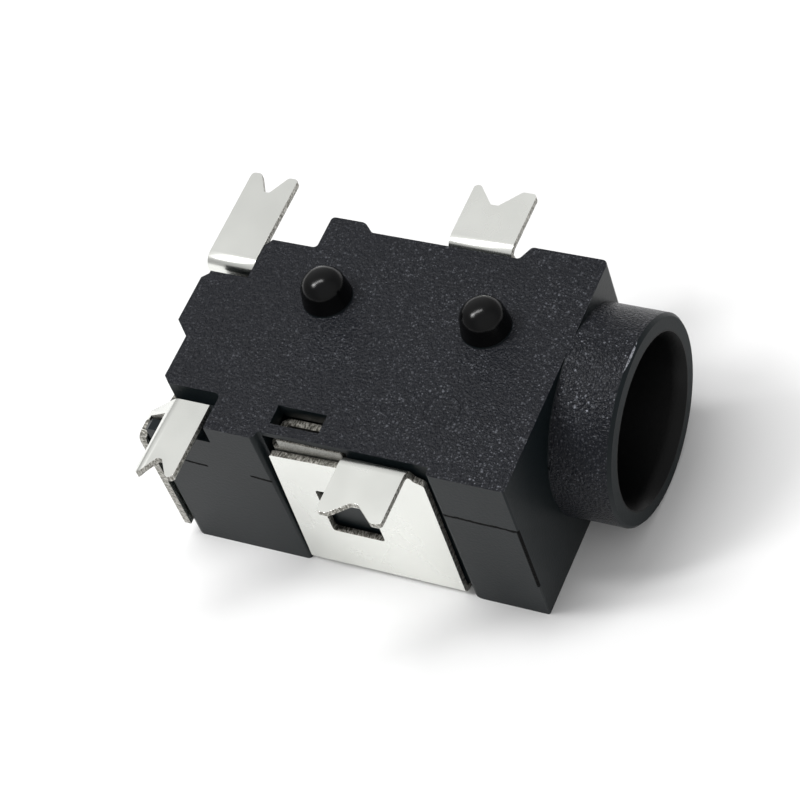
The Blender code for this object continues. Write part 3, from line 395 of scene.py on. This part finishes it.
def moulding():
    """Black moulded plastic: spark-eroded grain on the board face and the nose, smoother walls and pegs, a
    painted highlight on the edge slopes below the board face and painted shade in the bore.
    """
    material, nodes, shader = new_material("moulding")
    place = nodes.place()
    at = nodes.axes(place)
    toward = nodes.axes(nodes.normal())
    area = moulding_areas(nodes, at, toward)
    grainy = nodes.either(area["board"], area["nose"])
    grain = nodes.noise(place, GRAIN_SIZE, FINE_LAYERS)
    coarse = nodes.noise(place, TONE_PATCH)
    specks = bright_specks(nodes, place, at, toward, grainy)
    line = parting_line(nodes, place, at, toward)
    tone = nodes.mix(grainy, nodes.mix(coarse, *WALL_TONES), nodes.mix(coarse, *GRAIN_TONES))
    # Pegs get their glossy black; the bore gets it too, partly as painted shade of its recess
    tone = nodes.mix(nodes.either(area["peg"], area["bore"]), tone, GLOSSY_BLACK_AND_BORE_SHADE)
    # Painted highlight on the edge slopes below the board face
    tone = nodes.mix(painted_edge_highlight(nodes, at, toward, grain), tone, EDGE_HIGHLIGHT_COLOUR)
    tone = nodes.mix(line, tone, LINE_BLACK)
    nodes.put(shader.inputs["Base Color"], nodes.mix(specks, tone, SPECK_COLOUR))
    nodes.put(shader.inputs["Metallic"], nodes.both(specks, SPECK_METALLIC))
    rough = nodes.ramp(grainy, 0.0, 1.0, WALL_ROUGHNESS, GRAIN_ROUGHNESS)
    for name, level in (("nose", NOSE_ROUGHNESS), ("rim", RIM_ROUGHNESS), ("peg", PEG_ROUGHNESS)):
        rough = nodes.mix_value(area[name], rough, level)
    nodes.put(shader.inputs["Roughness"], nodes.mix_value(line, rough, LINE_ROUGHNESS))
    shader.inputs["IOR"].default_value = MOULDING_IOR
    from_ejector = radius_from(nodes, at["x"], at["y"], *EJECTOR_PLACE)
    ring = nodes.both(nodes.near(from_ejector, EJECTOR_RADIUS, EJECTOR_WIDTH), area["board"])
    height = nodes.math("SUBTRACT", grain, line)
    height = nodes.math("SUBTRACT", height, nodes.math("MULTIPLY", ring, EJECTOR_RELIEF))
    relief = nodes.ramp(grainy, 0.0, 1.0, WALL_RELIEF, 1.0)
    relief = nodes.both(relief, nodes.ramp(area["peg"], 0.0, 1.0, 1.0, PEG_RELIEF))
    nodes.put(shader.inputs["Normal"], nodes.bump(height, nodes.either(relief, line), GRAIN_DEPTH))
    return material


def sheared_edges(nodes, height, toward, sheet_normal):
    """Masks of a sheet's sheared edges: all of them, and those that face up below the feet, which get
    painted shade.
    """
    across = toward["x" if sheet_normal == "y" else "y"]
    side = nodes.ramp(nodes.math("ABSOLUTE", across), *SHEARED_ASLANT)
    flat_on = nodes.ramp(nodes.math("ABSOLUTE", toward[sheet_normal]), *SQUARE_ON)
    foot_tip = nodes.both(flat_on, nodes.ramp(height, *FOOT_TIP_HEIGHTS))
    below_feet = nodes.between(height, TOP_EDGE_LOW_Z, TOP_EDGE_HIGH_Z, TOP_EDGE_FADE)
    top = nodes.both(nodes.ramp(toward["z"], *SQUARE_ON), below_feet)
    return nodes.either(side, foot_tip, top), top


def shear_marks(nodes, place, height, sheet_normal):
    """Fine noise, drawn out through the sheet's thickness: across the plate, and upright in the feet."""
    through_plate = (1, SHEAR_STRETCH, 1, 1) if sheet_normal == "y" else (SHEAR_STRETCH, 1, 1, 1)
    through_foot = (1, 1, SHEAR_STRETCH, 1)
    stretch = nodes.mix(nodes.ramp(height, *FOOT_HEIGHTS), through_plate, through_foot)
    stretched = nodes.vector_math("MULTIPLY", place, stretch)["Vector"]
    return nodes.noise(stretched, SHEAR_GRAIN, FINE_LAYERS)


def plate(name, colour, roughness, sheet_normal, rubbed):
    """Bright plated sheet, a little cloudy, with rough and darker sheared edges, and painted shade on the
    sheared top edges under the feet.
    """
    material, nodes, shader = new_material(name)
    place = nodes.place()
    height = nodes.axes(place)["z"]
    toward = nodes.axes(nodes.normal())
    sheared, top = sheared_edges(nodes, height, toward, sheet_normal)
    cloudy = nodes.noise(place, CLOUD_SIZE, detail=CLOUD_DETAIL)
    marks = shear_marks(nodes, place, height, sheet_normal)
    grain = nodes.ramp(marks, *SHEAR_CONTRAST)
    shade = CLOUD_SHADE - RUBBED_SHADE * rubbed
    darker = tuple(shade * part for part in colour)
    tone = nodes.mix(nodes.mix_value(rubbed, cloudy, grain), (*darker, 1), (*colour, 1))
    # The top edges below the feet take darker tones: partly their rough shear, partly painted shade under
    # the feet
    torn = nodes.mix(top, nodes.mix(grain, *TORN_TONES), nodes.mix(grain, *TOP_EDGE_SHADE_TONES))
    nodes.put(shader.inputs["Base Color"], nodes.mix(sheared, tone, torn))
    shader.inputs["Metallic"].default_value = 1.0
    rough = nodes.math("MULTIPLY_ADD", cloudy, CLOUD_ROUGHNESS, roughness)
    rough = nodes.math("MULTIPLY_ADD", sheared, SHEAR_ROUGHNESS, rough)
    nodes.put(shader.inputs["Roughness"], rough)
    relief = nodes.ramp(sheared, 0.0, 1.0, rubbed, 1.0)
    nodes.put(shader.inputs["Normal"], nodes.bump(marks, relief, SHEAR_DEPTH))
    return material


def turned_pin():
    """Bright nickel with fine turning marks round the bore's axis."""
    material, nodes, shader = new_material("pin_plate")
    place = nodes.place()
    at = nodes.axes(place)
    from_axis = radius_from(nodes, at["y"], at["z"], BORE_Y, BORE_Z)
    turning = nodes.add("ShaderNodeCombineXYZ", None, X=at["x"], Y=from_axis)
    marks = nodes.noise(turning.outputs["Vector"], TURNING_GRAIN, FINE_LAYERS)
    cloudy = nodes.noise(place, PIN_PATCH)
    nodes.put(shader.inputs["Base Color"], nodes.mix(cloudy, *PIN_TONES))
    shader.inputs["Metallic"].default_value = 1.0
    rough = nodes.ramp(marks, *TURNING_CONTRAST, *TURNING_ROUGHNESS)
    nodes.put(shader.inputs["Roughness"], rough)
    nodes.put(shader.inputs["Normal"], nodes.bump(marks, TURNING_STRENGTH, TURNING_DEPTH))
    return material


def smooth_group():
    """A node group that drops the stored normals, shades smooth and keeps each edge over the angle sharp."""
    group = bpy.data.node_groups.new("smooth_by_angle", "GeometryNodeTree")
    for way in ("INPUT", "OUTPUT"):
        group.interface.new_socket("Geometry", in_out=way, socket_type="NodeSocketGeometry")
    nodes = Nodes(group)
    start = nodes.add("NodeGroupInput")
    geometry = start.outputs["Geometry"]
    drop = nodes.add("GeometryNodeRemoveAttribute", None, Geometry=geometry, Name="custom_normal")
    faces = nodes.add("GeometryNodeSetShadeSmooth", None, Geometry=drop.outputs["Geometry"])
    angle = nodes.add("GeometryNodeInputMeshEdgeAngle").outputs["Unsigned Angle"]
    over = nodes.add("FunctionNodeCompare", {"operation": "GREATER_THAN"}, A=angle, B=radians(SHARP_ANGLE))
    edges = nodes.add("GeometryNodeSetShadeSmooth", {"domain": "EDGE"}, Geometry=faces.outputs["Geometry"])
    nodes.put(edges.inputs["Selection"], over.outputs["Result"])
    nodes.put(edges.inputs["Shade Smooth"], False)
    nodes.add("NodeGroupOutput", None, Geometry=edges.outputs["Geometry"])
    return group


def round_edges(name, width, smooth):
    """Fine rounding of a node's sharp edges, by modifiers over its mesh.

    The bevel's overlap clamp keeps it finer than the width where the node has shorter edges.
    """
    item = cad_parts[name]
    weld = item.modifiers.new("weld", "WELD")
    weld.merge_threshold = MERGE_DISTANCE
    flat = item.modifiers.new("flat", "DECIMATE")
    flat.decimate_type = "DISSOLVE"
    flat.angle_limit = radians(FLAT_ANGLE)
    bevel = item.modifiers.new("edges", "BEVEL")
    bevel.width = width
    bevel.segments = EDGE_SEGMENTS
    bevel.limit_method = "ANGLE"
    bevel.angle_limit = radians(SHARP_ANGLE)
    shade = item.modifiers.new("shade", "NODES")
    shade.node_group = smooth
    weighted = item.modifiers.new("weighted", "WEIGHTED_NORMAL")
    weighted.keep_sharp = True


def dress(name, material):
    """Give a node its only material."""
    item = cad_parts[name]
    item.data.materials.clear()
    item.data.materials.append(material)


def floor():
    """A square of pale card under the part."""
    mesh = bpy.data.meshes.new("floor")
    half = FLOOR_SIZE / 2
    corners = [(-half, -half, 0), (half, -half, 0), (half, half, 0), (-half, half, 0)]
    mesh.from_pydata(corners, [], [(0, 1, 2, 3)])
    item = bpy.data.objects.new("floor", mesh)
    bpy.context.scene.collection.objects.link(item)
    material, nodes, shader = new_material("floor_card")
    paper = nodes.noise(nodes.place(), PAPER_PATCH)
    darker = tuple(PAPER_SHADE * part for part in FLOOR_COLOUR)
    nodes.put(shader.inputs["Base Color"], nodes.mix(paper, (*FLOOR_COLOUR, 1), (*darker, 1)))
    shader.inputs["Roughness"].default_value = FLOOR_ROUGHNESS
    shader.inputs["Specular IOR Level"].default_value = 0.0
    mesh.materials.append(material)


def sky():
    """A dim room with two broad soft glows: one that the feet and the board face mirror, one in front."""
    world = bpy.data.worlds.new("studio")
    world.use_nodes = True
    nodes = Nodes(world.node_tree)
    background = world.node_tree.nodes["Background"]
    direction = nodes.add("ShaderNodeTexCoord").outputs["Generated"]
    levels = []
    for glow_direction, level, start, full in GLOWS:
        centre = Vector(glow_direction).normalized()
        toward = nodes.vector_math("DOT_PRODUCT", direction, centre)["Value"]
        levels.append(nodes.ramp(toward, start, full, SKY_LEVEL, level))
    background.inputs["Color"].default_value = SKY_COLOUR
    nodes.put(background.inputs["Strength"], nodes.either(*levels))
    bpy.context.scene.world = world


def soft_light(name, toward, along, size, power):
    """A rectangular soft box over the part, its first side along the given direction."""
    light = bpy.data.lights.new(name, "AREA")
    light.shape = "RECTANGLE"
    light.size, light.size_y = size
    light.energy = power
    item = bpy.data.objects.new(name, light)
    bpy.context.scene.collection.objects.link(item)
    away = Vector(toward).normalized()
    across = away.cross(Vector(along)).normalized()
    turn = Matrix((across.cross(away), across, away)).transposed().to_4x4()
    item.matrix_world = Matrix.Translation(away * LIGHT_DISTANCE) @ turn


def camera():
    """The camera that the photograph was taken with, solved from the part's edges."""
    data = bpy.data.cameras.new("camera")
    data.sensor_width = CAMERA_SENSOR
    data.lens = CAMERA_LENS
    data.clip_start = CAMERA_NEAREST
    data.clip_end = CAMERA_FARTHEST
    item = bpy.data.objects.new("camera", data)
    bpy.context.scene.collection.objects.link(item)
    item.location = CAMERA_PLACE
    item.rotation_euler = [radians(angle) for angle in CAMERA_TURN]
    bpy.context.scene.camera = item


def main():
    bpy.context.scene.view_settings.view_transform = "Standard"
    camera()
    sky()
    soft_light("strip", **STRIP)
    soft_light("key", **KEY)
    floor()
    dress("housing", moulding())
    for node, material, *look in PLATES:
        dress(node, plate(material, *look))
    dress("centre_pin", turned_pin())
    smooth = smooth_group()
    for node, width in EDGE_WIDTHS.items():
        round_edges(node, width, smooth)


main()
